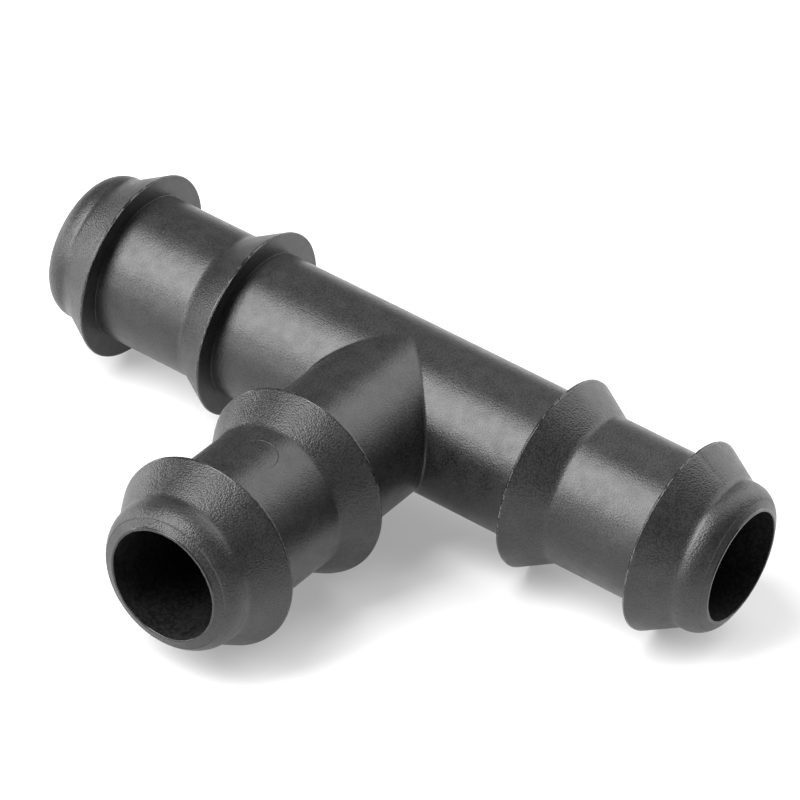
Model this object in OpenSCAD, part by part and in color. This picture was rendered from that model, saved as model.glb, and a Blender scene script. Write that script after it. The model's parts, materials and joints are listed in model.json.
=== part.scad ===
// Barbed tee connector for low-pressure irrigation pipe.
// One moulding, laid out as the named sections of its run and branch.
// The run lies along X and the branch points along -Y. The origin is where the two axes cross.
// Sections meet face to face on planes square to their arm, and all share one continuous bore.

/* [Tube] */
// Outside diameter of the run, the branch and the necks between barbs
tube_d = 12.5; // [11.5:0.1:13.5]
// Diameter of the bore through the run and the branch
bore_d = 9.2; // [8:0.1:9.8]

/* [Arms] */
// Distance from the crossing of the axes to each open mouth
arm_len = 31.5; // [28:0.5:45]

/* [Barbs] */
// Diameter over a barb's crest
crest_d = 16; // [14.5:0.1:18]
// Distance from an inner barb's back face to the outer barb's back face
barb_pitch = 11.6; // [8:0.1:14]
// Width of the narrow cylindrical land on a crest
crest_land = 0.2; // [0.1:0.05:0.4]
// Length of the cone that leads up to a crest
cone_len = 2.95; // [2:0.05:3.2]
// Radius of the fillet where a back face meets the tube
root_r = 0.1; // [0.05:0.05:0.6]
// Radius of the hollow where a cone runs out into the tube
foot_r = 1.2; // [0.4:0.1:1.4]

/* [Mouths] */
// Radius that rounds the nose of each arm
nose_r = 2; // [1.5:0.1:2.4]
// Width of the flat ring around each mouth
lip_w = 0.25; // [0.1:0.05:0.4]
// Straight stretch between the outer cone's foot and the nose
valley_w = 0.25; // [0.1:0.05:1]

/* [Quality] */
// Straight steps that draw each small radius
arc_steps = 8; // [4:1:16]
// Facets around a revolved section
$fn = 96; // [48:8:192]

/* [Hidden] */

plastic = "#2b2b2c";
tube_r = tube_d / 2;
bore_r = bore_d / 2;
crest_r = crest_d / 2;

// The cone's slope, and how far the hollow at its foot runs on along the tube
cone_angle = atan((crest_r - tube_r) / cone_len);
foot_run = foot_r * tan(cone_angle / 2);
barb_len = crest_land + cone_len;

// How far the nose's arc turns before it meets the mouth's flat ring
nose_angle = acos((bore_r + lip_w - tube_r + nose_r) / nose_r);
// Straight tube that stays with each barb beyond its fillets
stub = 0.2;
// How far a cutting tool runs past the face it opens
clear = 1;

// Stations along an arm, measured from the crossing of the axes and set from the mouth inward
nose_at = arm_len - nose_r * sin(nose_angle);
outer_barb_end = nose_at - valley_w / 2;
outer_barb_at = nose_at - valley_w - foot_run - barb_len;
outer_barb_start = outer_barb_at - root_r - stub;
inner_barb_at = outer_barb_at - barb_pitch;
inner_barb_end = inner_barb_at + barb_len + foot_run + stub;
junction_end = inner_barb_at - root_r - stub;

// Points of an arc around a centre, as [radius, station] pairs
function arc(centre, r, from, to) = [
    for (i = [0 : arc_steps])
        let (a = from + (to - from) * i / arc_steps)
            centre + r * [cos(a), sin(a)]
];

// Outline of one barb from its root fillet, over the crest, to the hollow at the cone's foot
function barb_outline(at) = concat(
    arc([tube_r + root_r, at - root_r], root_r, 180, 90),
    [[crest_r, at], [crest_r, at + crest_land]],
    arc([tube_r + foot_r, at + barb_len + foot_run], foot_r, 180 + cone_angle, 180)
);

// Outline of the rounded nose out to the mouth's flat ring
function nose_outline() = arc([tube_r - nose_r, nose_at], nose_r, 0, nose_angle);

// A section of an arm along +Z, closed by the bore on the inside and two flat ends
module section(from, to, outline = []) {
    rotate_extrude()
        polygon(concat([[bore_r, from], [tube_r, from]], outline, [[bore_r, to]]));
}

module inner_barb() {
    section(junction_end, inner_barb_end,
        concat(barb_outline(inner_barb_at), [[tube_r, inner_barb_end]]));
}

module neck() {
    section(inner_barb_end, outer_barb_start, [[tube_r, outer_barb_start]]);
}

module outer_barb() {
    section(outer_barb_start, outer_barb_end,
        concat(barb_outline(outer_barb_at), [[tube_r, outer_barb_end]]));
}

module nose() {
    section(outer_barb_end, arm_len, nose_outline());
}

// Each arm's own direction: +Z of a section turns onto the arm's axis
module on_left() {
    rotate([0, -90, 0]) children();
}

module on_right() {
    rotate([0, 90, 0]) children();
}

module on_branch() {
    rotate([90, 0, 0]) children();
}

module junction_body() {
    color(plastic) difference() {
        union() {
            on_right() cylinder(r = tube_r, h = 2 * junction_end, center = true);
            on_branch() cylinder(r = tube_r, h = junction_end);
        }
        on_right() cylinder(r = bore_r, h = 2 * (junction_end + clear), center = true);
        on_branch() cylinder(r = bore_r, h = junction_end + clear);
    }
}

module left_inner_barb() {
    color(plastic) on_left() inner_barb();
}

module left_neck() {
    color(plastic) on_left() neck();
}

module left_outer_barb() {
    color(plastic) on_left() outer_barb();
}

module left_nose() {
    color(plastic) on_left() nose();
}

module right_inner_barb() {
    color(plastic) on_right() inner_barb();
}

module right_neck() {
    color(plastic) on_right() neck();
}

module right_outer_barb() {
    color(plastic) on_right() outer_barb();
}

module right_nose() {
    color(plastic) on_right() nose();
}

module branch_inner_barb() {
    color(plastic) on_branch() inner_barb();
}

module branch_neck() {
    color(plastic) on_branch() neck();
}

module branch_outer_barb() {
    color(plastic) on_branch() outer_barb();
}

module branch_nose() {
    color(plastic) on_branch() nose();
}

junction_body();
left_inner_barb();
left_neck();
left_outer_barb();
left_nose();
right_inner_barb();
right_neck();
right_outer_barb();
right_nose();
branch_inner_barb();
branch_neck();
branch_outer_barb();
branch_nose();
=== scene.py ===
import json
import math

import bmesh
import bpy
from mathutils import Matrix, Vector, noise


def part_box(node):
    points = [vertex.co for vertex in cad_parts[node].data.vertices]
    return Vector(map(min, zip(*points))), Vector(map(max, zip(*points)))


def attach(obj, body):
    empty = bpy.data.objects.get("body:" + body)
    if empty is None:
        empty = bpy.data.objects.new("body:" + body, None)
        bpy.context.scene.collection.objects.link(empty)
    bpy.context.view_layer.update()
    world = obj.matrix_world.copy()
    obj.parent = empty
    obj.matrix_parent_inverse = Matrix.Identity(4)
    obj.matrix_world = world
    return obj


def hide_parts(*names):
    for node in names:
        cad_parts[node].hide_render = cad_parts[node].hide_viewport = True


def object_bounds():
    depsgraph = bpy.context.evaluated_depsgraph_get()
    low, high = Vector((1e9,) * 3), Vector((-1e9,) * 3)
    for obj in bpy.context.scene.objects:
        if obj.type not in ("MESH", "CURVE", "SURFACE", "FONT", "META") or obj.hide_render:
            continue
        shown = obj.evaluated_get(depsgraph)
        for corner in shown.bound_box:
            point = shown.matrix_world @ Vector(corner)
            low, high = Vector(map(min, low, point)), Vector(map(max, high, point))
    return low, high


# The barbed tee as it looks: one black moulding, built as the CAD model's own sections.
# Everything is in metres, in the CAD frame: run along X, branch along -Y, lying on its crests.

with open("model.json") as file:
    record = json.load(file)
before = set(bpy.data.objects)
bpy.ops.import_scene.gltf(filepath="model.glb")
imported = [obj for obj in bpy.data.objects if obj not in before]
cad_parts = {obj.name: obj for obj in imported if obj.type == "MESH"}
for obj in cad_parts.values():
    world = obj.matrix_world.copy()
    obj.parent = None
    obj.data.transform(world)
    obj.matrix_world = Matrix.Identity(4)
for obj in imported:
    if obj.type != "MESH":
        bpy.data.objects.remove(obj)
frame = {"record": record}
cad_low, cad_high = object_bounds()

MM = 0.001
MICRON = 1e-6
# Less than any real size here, for comparing sizes that should be equal
TINY = 1e-9

# ---------------------------------------------------------------- sizes, from the CAD frame

mounts = {m["name"]: m for m in frame["record"]["mounts"]}
TUBE_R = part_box("right_neck")[1].z
CREST_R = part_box("right_outer_barb")[1].z
BORE_R = mounts["run_bore"]["dims"]["r_mm"] * MM
ARM_LEN = cad_high.x
LAND = mounts["right_outer_crest"]["dims"]["length_mm"] * MM

# Where one section meets the next, measured along an arm from the crossing of the axes
JUNCTION_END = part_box("junction_body")[1].x
INNER_BARB_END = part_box("right_inner_barb")[1].x
OUTER_BARB_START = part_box("right_outer_barb")[0].x
OUTER_BARB_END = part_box("right_outer_barb")[1].x
INNER_BACK = mounts["right_inner_crest"]["pos_m"][0] - LAND / 2
OUTER_BACK = mounts["right_outer_crest"]["pos_m"][0] - LAND / 2

# Shape of a barb and of a mouth, as in the CAD model
CONE_LEN = 2.95 * MM
FOOT_R = 1.2 * MM
NOSE_R = 2.0 * MM
LIP_W = 0.25 * MM

# Small shapes that the CAD model leaves out, and a sharper corner behind each barb than it has
ROOT_R = 0.03 * MM
CREST_EDGE_R = 0.09 * MM
CREASE_R = 0.2 * MM
BORE_CREASE_R = 0.15 * MM
RIM_R = 5.5 * MM
RIM_GROOVE = 0.025 * MM
LIP_STEP = 0.1 * MM
LIP_EDGE_R = 0.06 * MM

# Wear: how deep it goes, the size of its waves, and how far it reaches from a mouth's edge
CREST_WEAR = 0.03 * MM
CREST_WAVE = 2.5 * MM
RIM_WEAR = 0.03 * MM
RIM_WAVE = 0.9 * MM
RIM_RIPPLE = 0.35 * MM
RIM_WEAR_REACH = 0.5 * MM
# Nicks in the outer crest of an arm, each as (degrees from the top, depth, degrees wide)
CREST_NICKS = {"right": [(-2, 0.07 * MM, 2.0), (33, 0.05 * MM, 1.4)]}

# Facets round an arm, and steps that draw each kind of arc
SEGMENTS = 256
NOSE_STEPS = 16
ARC_STEPS = 8
SMALL_ARC_STEPS = 4
SMALL_ARC_R = 0.2 * MM
CREASE_STEPS = 6
# How far from an arc a straight stretch has its extra point
EDGE_SUPPORT = 0.05 * MM

# Which of a piece's materials a face has
SMOOTH, GRAINED, EDGE, BORE = 0, 1, 2, 3

ARM_TURN = {"right": 0.0, "left": math.pi, "branch": -math.pi / 2}


# ---------------------------------------------------------------- outlines

def arc(centre, radius, start, end, steps):
    """Points of an arc, as (station, radius) pairs."""
    turns = (start + (end - start) * i / steps for i in range(steps + 1))
    return [(centre[0] + radius * math.cos(a), centre[1] + radius * math.sin(a)) for a in turns]


def rounded(corners):
    """An outline through (station, radius, rounding) corners, each turned on its own arc.

    A straight stretch keeps a point close to either end, so that it stays straight when shaded.
    """
    outline = []
    for i, (t, r, rounding) in enumerate(corners):
        here = Vector((t, r))
        if rounding <= 0:
            outline.append(here)
            continue
        before = (Vector(corners[i - 1][:2]) - here).normalized()
        after = (Vector(corners[i + 1][:2]) - here).normalized()
        half = before.angle(after) / 2
        centre = here + (before + after).normalized() * rounding / math.sin(half)
        start = here + before * rounding / math.tan(half)
        end = here + after * rounding / math.tan(half)
        first = math.atan2(*(start - centre).yx)
        turn = math.atan2(*(end - centre).yx) - first
        turn = (turn + math.pi) % (2 * math.pi) - math.pi
        steps = ARC_STEPS if rounding > SMALL_ARC_R else SMALL_ARC_STEPS
        outline.append(start + before * EDGE_SUPPORT)
        outline += [Vector(p) for p in arc(centre, rounding, first, first + turn, steps)]
        outline.append(end + after * EDGE_SUPPORT)
    return [(p[0], p[1]) for p in outline]


def barb_outline(start, back, end):
    """From the tube, up the flat back face, over the crest and down the cone to the tube."""
    foot = back + LAND + CONE_LEN
    return rounded([
        (start, TUBE_R, 0),
        (back, TUBE_R, ROOT_R),
        (back, CREST_R, CREST_EDGE_R),
        (back + LAND, CREST_R, CREST_EDGE_R),
        (foot, TUBE_R, FOOT_R),
        (end, TUBE_R, 0),
    ])


def nose_outline():
    """From the valley behind the nose, round to the groove on its rim, then over the mouth's lip."""
    lip_r = BORE_R + LIP_W
    nose_at = ARM_LEN - NOSE_R * math.sin(math.acos((lip_r - TUBE_R + NOSE_R) / NOSE_R))
    rim_angle = math.acos((RIM_R - TUBE_R + NOSE_R) / NOSE_R)
    nose = arc((nose_at, TUBE_R - NOSE_R), NOSE_R, math.pi / 2, math.pi / 2 - rim_angle, NOSE_STEPS)
    rim_t, rim_r = nose[-1]
    groove = (rim_t - RIM_GROOVE / 2, rim_r - RIM_GROOVE)
    lip = rounded([
        (rim_t + RIM_GROOVE, rim_r - 1.5 * RIM_GROOVE, 0),
        (ARM_LEN - LIP_STEP, lip_r, 0),
        (ARM_LEN, lip_r - LIP_EDGE_R / 2, LIP_EDGE_R),
        (ARM_LEN, BORE_R, LIP_EDGE_R),
        (ARM_LEN - 4 * LIP_EDGE_R, BORE_R, 0),
    ])
    return [(OUTER_BARB_END, TUBE_R)] + nose + [groove] + lip[:-1]


def finish_at(t, r, grained):
    """Which material a face has, from the station and the radius of its middle."""
    if r < BORE_R + TINY:
        return BORE
    if r > CREST_R - CREST_EDGE_R or (t > ARM_LEN - LIP_STEP and r < BORE_R + LIP_W):
        return EDGE
    return GRAINED if grained[0] < t < grained[1] else SMOOTH


# ---------------------------------------------------------------- meshes

def new_piece(section, verts, faces, finishes, sharp_rings):
    """A closed mesh that stands for one CAD node. sharp_rings are sets of vertex numbers."""
    name = section + "_moulded"
    mesh = bpy.data.meshes.new(name)
    mesh.from_pydata(verts, [], faces)
    for material in (smooth_plastic, grained_plastic, edge_plastic, bore_painted_shade_plastic):
        mesh.materials.append(material)
    mesh.polygons.foreach_set("material_index", finishes)
    solid = bmesh.new()
    solid.from_mesh(mesh)
    bmesh.ops.recalc_face_normals(solid, faces=solid.faces)
    solid.to_mesh(mesh)
    solid.free()
    mesh.shade_smooth()
    for edge in mesh.edges:
        a, b = edge.vertices
        edge.use_edge_sharp = any(a in ring and b in ring for ring in sharp_rings)
    piece = bpy.data.objects.new(name, mesh)
    bpy.context.scene.collection.objects.link(piece)
    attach(piece, "root")
    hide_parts(section)


def lathe(section, arm, outline, grained=(0, 0), relief=None):
    """A hollow section of an arm: the outline turned about the arm's axis, closed by its bore.

    Between the two stations in grained the surface has the coarser grain. relief moves a point
    outwards by a small amount that depends on its station, its radius and its turn.
    """
    start, end = outline[0][0], outline[-1][0]
    inside = [] if outline[-1][1] <= BORE_R + TINY else [(end, BORE_R)]
    profile = outline + inside + [(start, BORE_R)]
    turned = Matrix.Rotation(ARM_TURN[arm], 3, "Z")
    verts = []
    for t, r in profile:
        for k in range(SEGMENTS):
            a = 2 * math.pi * k / SEGMENTS
            out = r + (relief(t, r, a) if relief else 0)
            verts.append(turned @ Vector((t, out * math.cos(a), out * math.sin(a))))
    faces, finishes = [], []
    count = len(profile)
    for i in range(count):
        j = (i + 1) % count
        middle_t = (profile[i][0] + profile[j][0]) / 2
        middle_r = (profile[i][1] + profile[j][1]) / 2
        finish = finish_at(middle_t, middle_r, grained)
        for k in range(SEGMENTS):
            m = (k + 1) % SEGMENTS
            faces.append((i * SEGMENTS + k, i * SEGMENTS + m, j * SEGMENTS + m, j * SEGMENTS + k))
            finishes.append(finish)
    corners = [0, count - 1] + ([count - 2, count - 3] if inside else [])
    rings = [set(range(i * SEGMENTS, (i + 1) * SEGMENTS)) for i in corners]
    new_piece(section, verts, faces, finishes, rings)


class Shell:
    """Vertices and faces of the junction, merged where they meet."""

    # Points that agree to one part of a metre in this many are the same vertex
    GRID = 1e8

    def __init__(self):
        self.numbers = {}
        self.verts = []
        self.faces = []
        self.finishes = []

    def vertex(self, x, y, z):
        """The number of the vertex at a point, which is new or the one already there."""
        key = (round(x * self.GRID), round(y * self.GRID), round(z * self.GRID))
        if key not in self.numbers:
            self.numbers[key] = len(self.verts)
            self.verts.append((x, y, z))
        return self.numbers[key]

    def face(self, corners, finish):
        self.faces.append(corners)
        self.finishes.append(finish)

    def strip(self, first, second, finish):
        """Quads between two rows of vertex numbers."""
        for i in range(len(first) - 1):
            self.face((first[i], first[i + 1], second[i + 1], second[i]), finish)


def elbow_row(radius, crease, angle, side):
    """One level line of the surface, from a run end round the crease to the branch end."""
    height, width = radius * math.sin(angle), radius * math.cos(angle)
    corner = width + crease
    straight = JUNCTION_END - corner
    leg = [0, straight / 2, straight - EDGE_SUPPORT]
    run = [(JUNCTION_END - d, -width) for d in leg]
    bend = arc((corner, -corner), crease, math.pi / 2, math.pi, CREASE_STEPS)
    branch = [(width, d - JUNCTION_END) for d in reversed(leg)]
    return [(side * x, y, height) for x, y in run + bend + branch]


def tee_surface(shell, radius, crease, finish):
    """A tube along the run with a tube of the same radius leaving it, and a small blend between."""
    quarter = SEGMENTS // 4
    angles = [math.pi / 2 * k / quarter for k in range(-quarter, quarter + 1)]
    for side in (1, -1):
        rows = [[shell.vertex(*p) for p in elbow_row(radius, crease, a, side)] for a in angles]
        for low, high in zip(rows, rows[1:]):
            shell.strip(low, high, finish)
    # The back of the run takes its stations from the top line, where the front's rows end
    top = [x for x, y, _ in elbow_row(radius, crease, math.pi / 2, 1) if y > -TINY]
    stations = top + [-x for x in reversed(top)]
    back = []
    for a in angles:
        y, z = radius * math.cos(a), radius * math.sin(a)
        back.append([shell.vertex(x, y, z) for x in stations])
    for low, high in zip(back, back[1:]):
        shell.strip(low, high, finish)
    # Patch between the two creases and the run's top line, and the same below
    for z in (-radius, radius):
        bend = arc((crease, -crease), crease, math.pi / 2, math.pi, CREASE_STEPS)
        right = [shell.vertex(x, y, z) for x, y in bend]
        left = [shell.vertex(-x, y, z) for x, y in reversed(bend[:-1])]
        shell.face(right + left, finish)


def end_ring(shell, arm, radius):
    """Vertex numbers of the open end of a tube surface, in order round the arm."""
    turned = Matrix.Rotation(ARM_TURN[arm], 3, "Z")
    ring = []
    for k in range(SEGMENTS):
        a = 2 * math.pi * k / SEGMENTS
        place = turned @ Vector((JUNCTION_END, radius * math.cos(a), radius * math.sin(a)))
        ring.append(shell.vertex(*place))
    return ring


def junction():
    """The middle of the tee: an outer surface, a bore surface, and a flat ring at each of three ends."""
    shell = Shell()
    tee_surface(shell, TUBE_R, CREASE_R, SMOOTH)
    tee_surface(shell, BORE_R, BORE_CREASE_R, BORE)
    rings = []
    for arm in ARM_TURN:
        outer, inner = end_ring(shell, arm, TUBE_R), end_ring(shell, arm, BORE_R)
        shell.strip(outer + outer[:1], inner + inner[:1], SMOOTH)
        rings += [set(outer), set(inner)]
    new_piece("junction_body", shell.verts, shell.faces, shell.finishes, rings)


# ---------------------------------------------------------------- plastic

def node(tree, kind, values, **settings):
    """A new shader node. Each value is a number, a vector, a colour or the output that feeds it."""
    made = tree.nodes.new("ShaderNode" + kind)
    for name, setting in settings.items():
        setattr(made, name, setting)
    for name, value in values.items():
        if isinstance(value, bpy.types.NodeSocket):
            tree.links.new(value, made.inputs[name])
        else:
            made.inputs[name].default_value = value
    return made


def place_on(tree):
    """The place of the shaded point, in the tee's own frame."""
    return node(tree, "TexCoord", {}).outputs["Object"]


def maths(tree, operation, *values):
    return node(tree, "Math", dict(enumerate(values)), operation=operation).outputs[0]


def remap(tree, value, old, new, curve="LINEAR"):
    """Takes a value from the range old to the range new, both given as (low, high)."""
    values = {"Value": value, "From Min": old[0], "From Max": old[1], "To Min": new[0], "To Max": new[1]}
    return node(tree, "MapRange", values, interpolation_type=curve).outputs["Result"]


def spread(tree, value, low, high):
    """Takes the middle of a pattern's range to the range from low to high."""
    return remap(tree, value, (0.3, 0.7), (low, high))


def blotches(tree, size, detail):
    """Soft random blotches from 0 to 1, about size metres across."""
    values = {"Vector": place_on(tree), "Scale": 1 / size, "Detail": detail}
    return node(tree, "TexNoise", values).outputs["Fac"]


def pebbles(tree, size):
    """Rounded pebbles packed side by side, about size metres across: 1 in the middle, lower between."""
    made = node(tree, "TexVoronoi", {"Vector": place_on(tree), "Scale": 1 / size}, feature="F1")
    return maths(tree, "SUBTRACT", 1.0, made.outputs["Distance"])


def parting_line(tree):
    """A fine raised line where the halves of the mould met, along the middle of every arm."""
    height, width = 6 * MICRON, 0.07 * MM
    z = node(tree, "SeparateXYZ", {"Vector": place_on(tree)}).outputs["Z"]
    off = maths(tree, "ABSOLUTE", z)
    return remap(tree, off, (0.0, width), (height, 0.0), "SMOOTHSTEP")


def pin_mark(tree):
    """A round spot left by an ejector pin on top of the branch's neck.

    It is sunk most at its +Y side and not at all at the other.
    """
    centre = (0.0, -INNER_BARB_END - 2.7 * MM, 0.0)
    radius, edge, depth = 1.8 * MM, 0.12 * MM, 45 * MICRON
    axes = node(tree, "SeparateXYZ", {"Vector": place_on(tree)}).outputs
    flat = node(tree, "CombineXYZ", {"X": axes["X"], "Y": axes["Y"], "Z": 0.0}).outputs[0]
    away = node(tree, "VectorMath", {0: flat, 1: centre}, operation="DISTANCE").outputs["Value"]
    spot = remap(tree, away, (radius - edge, radius), (1.0, 0.0), "SMOOTHSTEP")
    sunk = remap(tree, axes["Y"], (centre[1] - radius / 2, centre[1] + radius), (0.0, -depth))
    on_top = maths(tree, "GREATER_THAN", axes["Z"], 0.0)
    return maths(tree, "MULTIPLY", maths(tree, "MULTIPLY", spot, sunk), on_top)


def plastic(name, tone, roughness, grain_size, grain_height, wave_height, marks=(), specular=0.5):
    """Black satin plastic. Heights and sizes are in metres; marks are more heights for its bump."""
    material = bpy.data.materials.new(name)
    material.use_nodes = True
    tree = material.node_tree
    shader = tree.nodes["Principled BSDF"]
    shader.inputs["Specular IOR Level"].default_value = specular
    grain = pebbles(tree, grain_size)

    # Colour: painted shade, darker in the hollows between the grain's pebbles and lighter on their tops,
    # and a random tone that differs in blotches a few times their size
    blotch_size, darkest, lightest = 1.6 * MM, 0.3, 2.0
    blotch = spread(tree, blotches(tree, blotch_size, 3.0), 0, 0.4)
    # Painted shade from the pebbles' hollows, added to blotches of random tone
    pebble_shade_and_mottle = maths(tree, "ADD", blotch, spread(tree, grain, 0, 0.6))
    dark = (tone * darkest,) * 3 + (1,)
    light = (tone * lightest,) * 3 + (1,)
    colour = node(tree, "Mix", {"Factor": pebble_shade_and_mottle, "A": dark, "B": light}, data_type="RGBA")
    tree.links.new(colour.outputs["Result"], shader.inputs["Base Color"])

    # Gloss: a little uneven
    gloss_size, change = 0.9 * MM, 0.04
    gloss = spread(tree, blotches(tree, gloss_size, 3.0), roughness - change, roughness + change)
    tree.links.new(gloss, shader.inputs["Roughness"])

    # Bump: the grain, long shallow waves in the moulded skin, and the marks
    wave_size = 3.0 * MM
    waves = maths(tree, "MULTIPLY", blotches(tree, wave_size, 1.0), wave_height)
    height = maths(tree, "ADD", maths(tree, "MULTIPLY", grain, grain_height), waves)
    for mark in marks:
        height = maths(tree, "ADD", height, mark(tree))
    bump = node(tree, "Bump", {"Height": height, "Distance": 1.0, "Strength": 1.0})
    tree.links.new(bump.outputs["Normal"], shader.inputs["Normal"])
    return material


smooth_plastic = plastic(
    "satin_black_plastic", tone=0.012, roughness=0.36, grain_size=0.15 * MM,
    grain_height=10 * MICRON, wave_height=24 * MICRON, marks=[parting_line, pin_mark])
grained_plastic = plastic(
    "grained_black_plastic", tone=0.012, roughness=0.4, grain_size=0.15 * MM,
    grain_height=27 * MICRON, wave_height=16 * MICRON, marks=[parting_line])
edge_plastic = plastic(
    "worn_black_plastic", tone=0.012, roughness=0.2, grain_size=0.3 * MM,
    grain_height=3 * MICRON, wave_height=10 * MICRON)
# Painted shade: the bore is the same plastic as the outside, given a darker tone and a weaker reflection
# to stand for the shade deep inside it
bore_painted_shade_plastic = plastic(
    "bore_painted_shade_black_plastic", tone=0.009, roughness=0.6, grain_size=0.3 * MM,
    grain_height=8 * MICRON, wave_height=10 * MICRON, specular=0.15)


# ---------------------------------------------------------------- the pieces

def wavy(r, a, size, seed):
    """Smooth noise from -1 to 1 round an arm, the same each run."""
    return noise.noise(Vector((seed, r * math.cos(a), r * math.sin(a))) / size)


def crest_wear(seed, nicks=()):
    """The crest's edge is never quite true, and may have nicks. The wear fades down the flanks."""
    def relief(t, r, a):
        share = max(0.0, (r - TUBE_R) / (CREST_R - TUBE_R)) ** 4
        lost = CREST_WEAR * (1 - wavy(r, a, CREST_WAVE, seed))
        for place, depth, width in nicks:
            lost += depth * math.exp(-(((math.degrees(a) - 90 - place) / width) ** 2))
        return -share * lost
    return relief


def rim_wear(seed):
    """A little flash and wear makes the mouth's edge ragged."""
    def relief(t, r, a):
        if t <= ARM_LEN - RIM_WEAR_REACH:
            return 0.0
        share = max(0.0, 1 - (r - BORE_R) / RIM_WEAR_REACH)
        ragged = wavy(r, a, RIM_WAVE, seed) + 0.5 * wavy(r, a, RIM_RIPPLE, seed)
        return share * RIM_WEAR * ragged
    return relief


def cone_of(back):
    """The stations where a barb's grained cone starts and ends."""
    return (back + LAND / 2, back + LAND + CONE_LEN)


junction()
for seed, arm in enumerate(ARM_TURN):
    inner = barb_outline(JUNCTION_END, INNER_BACK, INNER_BARB_END)
    outer = barb_outline(OUTER_BARB_START, OUTER_BACK, OUTER_BARB_END)
    nicks = CREST_NICKS.get(arm, ())
    lathe(arm + "_inner_barb", arm, inner, cone_of(INNER_BACK), crest_wear(seed))
    lathe(arm + "_neck", arm, [(INNER_BARB_END, TUBE_R), (OUTER_BARB_START, TUBE_R)])
    lathe(arm + "_outer_barb", arm, outer, cone_of(OUTER_BACK), crest_wear(seed + 10, nicks))
    lathe(arm + "_nose", arm, nose_outline(), (OUTER_BARB_END, ARM_LEN), rim_wear(seed))

# ---------------------------------------------------------------- floor, light and camera

FLOOR_HALF = 1.5
FLOOR_TONE = 0.68
FLOOR_GLOW = 0.28
WORLD_LIGHT = 0.27

floor_mesh = bpy.data.meshes.new("floor")
corners = [(x * FLOOR_HALF, y * FLOOR_HALF, cad_low.z) for x, y in ((-1, -1), (1, -1), (1, 1), (-1, 1))]
floor_mesh.from_pydata(corners, [], [(0, 1, 2, 3)])
floor = bpy.data.objects.new("floor", floor_mesh)
bpy.context.scene.collection.objects.link(floor)
pale = bpy.data.materials.new("pale_floor")
pale.use_nodes = True
paper = pale.node_tree.nodes["Principled BSDF"].inputs
paper["Base Color"].default_value = (FLOOR_TONE, FLOOR_TONE, FLOOR_TONE, 1)
paper["Roughness"].default_value = 0.9
paper["Emission Color"].default_value = (1, 1, 1, 1)
paper["Emission Strength"].default_value = FLOOR_GLOW
floor_mesh.materials.append(pale)


def bearing(azimuth, elevation):
    """Unit vectors from the tee towards a place round it, and level to the right as seen from there."""
    a, e = math.radians(azimuth), math.radians(elevation)
    towards = Vector((math.sin(a) * math.cos(e), -math.cos(a) * math.cos(e), math.sin(e)))
    return towards, Vector((math.cos(a), math.sin(a), 0))


def camera():
    """The camera at the photograph's viewing angle, a long lens close to the tee."""
    towards, level = bearing(30.73, 36.55)
    roll = math.radians(7.13)
    distance, right_shift, up_shift = 0.3952, 0.000301, 0.000184
    over = towards.cross(level)
    right = math.cos(roll) * level + math.sin(roll) * over
    up = -math.sin(roll) * level + math.cos(roll) * over
    data = bpy.data.cameras.new("camera")
    data.lens, data.sensor_width = 226.2, 36.0
    data.clip_start, data.clip_end = 0.01, 10.0
    cam = bpy.data.objects.new("camera", data)
    axes = Matrix((right, up, towards)).transposed().to_4x4()
    place = towards * distance - right * right_shift - up * up_shift
    cam.matrix_world = Matrix.Translation(place) @ axes
    bpy.context.scene.collection.objects.link(cam)
    bpy.context.scene.camera = cam


def softbox(name, azimuth, elevation, width, height, tilt, brightness):
    """A soft rectangle of light round the tee. Its place, size and tilt are angles in degrees."""
    distance = 0.8
    towards, level = bearing(azimuth, elevation)
    data = bpy.data.lights.new(name, "AREA")
    data.shape = "RECTANGLE"
    data.size = 2 * distance * math.tan(math.radians(width / 2))
    data.size_y = 2 * distance * math.tan(math.radians(height / 2))
    data.energy = brightness * math.pi * data.size * data.size_y
    lamp = bpy.data.objects.new(name, data)
    facing = Matrix((level, towards.cross(level), towards)).transposed()
    turned = facing @ Matrix.Rotation(math.radians(tilt), 3, "Z")
    lamp.matrix_world = Matrix.Translation(towards * distance) @ turned.to_4x4()
    bpy.context.scene.collection.objects.link(lamp)


camera()
softbox("key", azimuth=-36.5, elevation=47, width=29, height=60, tilt=14, brightness=11.2)
softbox("low_strip", azimuth=-59, elevation=4.5, width=89, height=9, tilt=0, brightness=8.4)
softbox("back", azimuth=170, elevation=40, width=43, height=78, tilt=0, brightness=2.9)
world = bpy.data.worlds.new("studio")
world.use_nodes = True
world.node_tree.nodes["Background"].inputs["Color"].default_value = (1, 1, 1, 1)
world.node_tree.nodes["Background"].inputs["Strength"].default_value = WORLD_LIGHT
bpy.context.scene.world = world
bpy.context.scene.view_settings.view_transform = "Standard"

bpy.context.view_layer.update()
